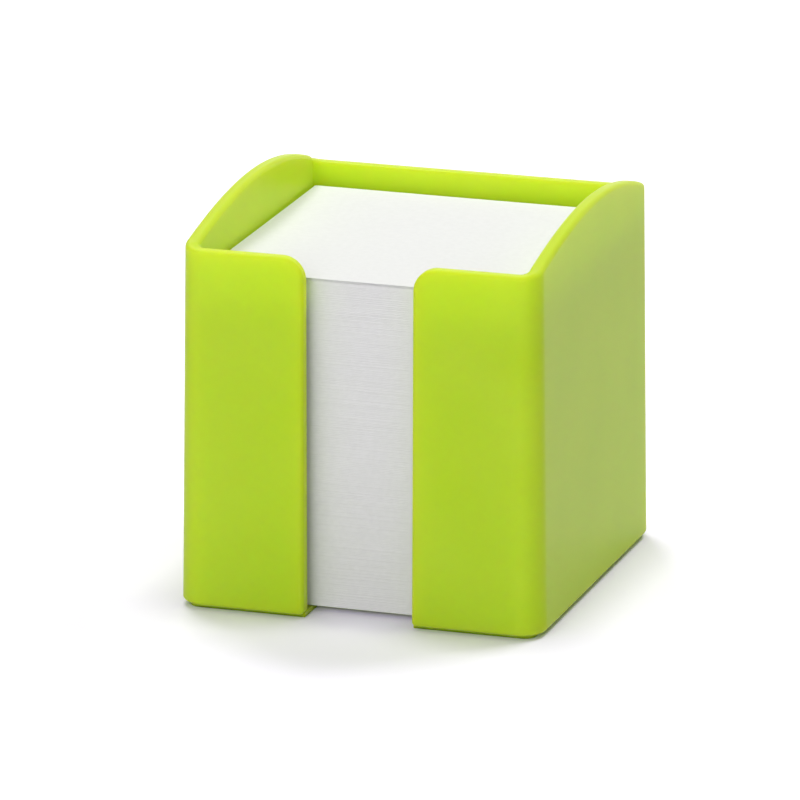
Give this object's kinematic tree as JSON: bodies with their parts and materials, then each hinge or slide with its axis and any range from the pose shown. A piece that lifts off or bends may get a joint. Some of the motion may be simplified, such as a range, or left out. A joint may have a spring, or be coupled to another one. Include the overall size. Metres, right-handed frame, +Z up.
{
  "type": "note box",
  "caption": "Open-topped desk box of translucent plastic with arched side walls and a front finger slot, holding a stack of loose square notes.",
  "frame": {"origin": "on the standing surface, under the centre of the box", "axes": "+Z up, -Y towards the finger slot, +X to the right seen from the slot"},
  "size_m": [0.1026, 0.1076, 0.1083],
  "materials": {
    "lime_plastic": "smooth moulded, slightly translucent",
    "note_paper": "uncoated white"
  },
  "bodies": {
    "box": {"box_shell": "lime_plastic"},
    "note_stack": {"note_bundle_01": "note_paper", "note_bundle_02": "note_paper", "note_bundle_03": "note_paper", "note_bundle_04": "note_paper", "note_bundle_05": "note_paper", "note_bundle_06": "note_paper", "note_bundle_07": "note_paper", "note_bundle_08": "note_paper", "note_bundle_09": "note_paper", "note_bundle_10": "note_paper", "note_bundle_11": "note_paper", "note_bundle_12": "note_paper", "note_bundle_13": "note_paper", "note_bundle_14": "note_paper", "note_bundle_15": "note_paper", "note_bundle_16": "note_paper", "loose_note_1": "note_paper", "loose_note_2": "note_paper", "loose_note_3": "note_paper", "loose_note_4": "note_paper"},
    "top_note": {"top_note": "note_paper"}
  },
  "joints": [
    {"name": "notes_lift", "type": "slide", "parent": "box", "child": "note_stack", "axis": [0, 0, 1], "range_m": [0, 0.115]},
    {"name": "top_note_lift", "type": "slide", "parent": "note_stack", "child": "top_note", "axis": [0, 0, 1], "range_m": [0, 0.03]}
  ]
}
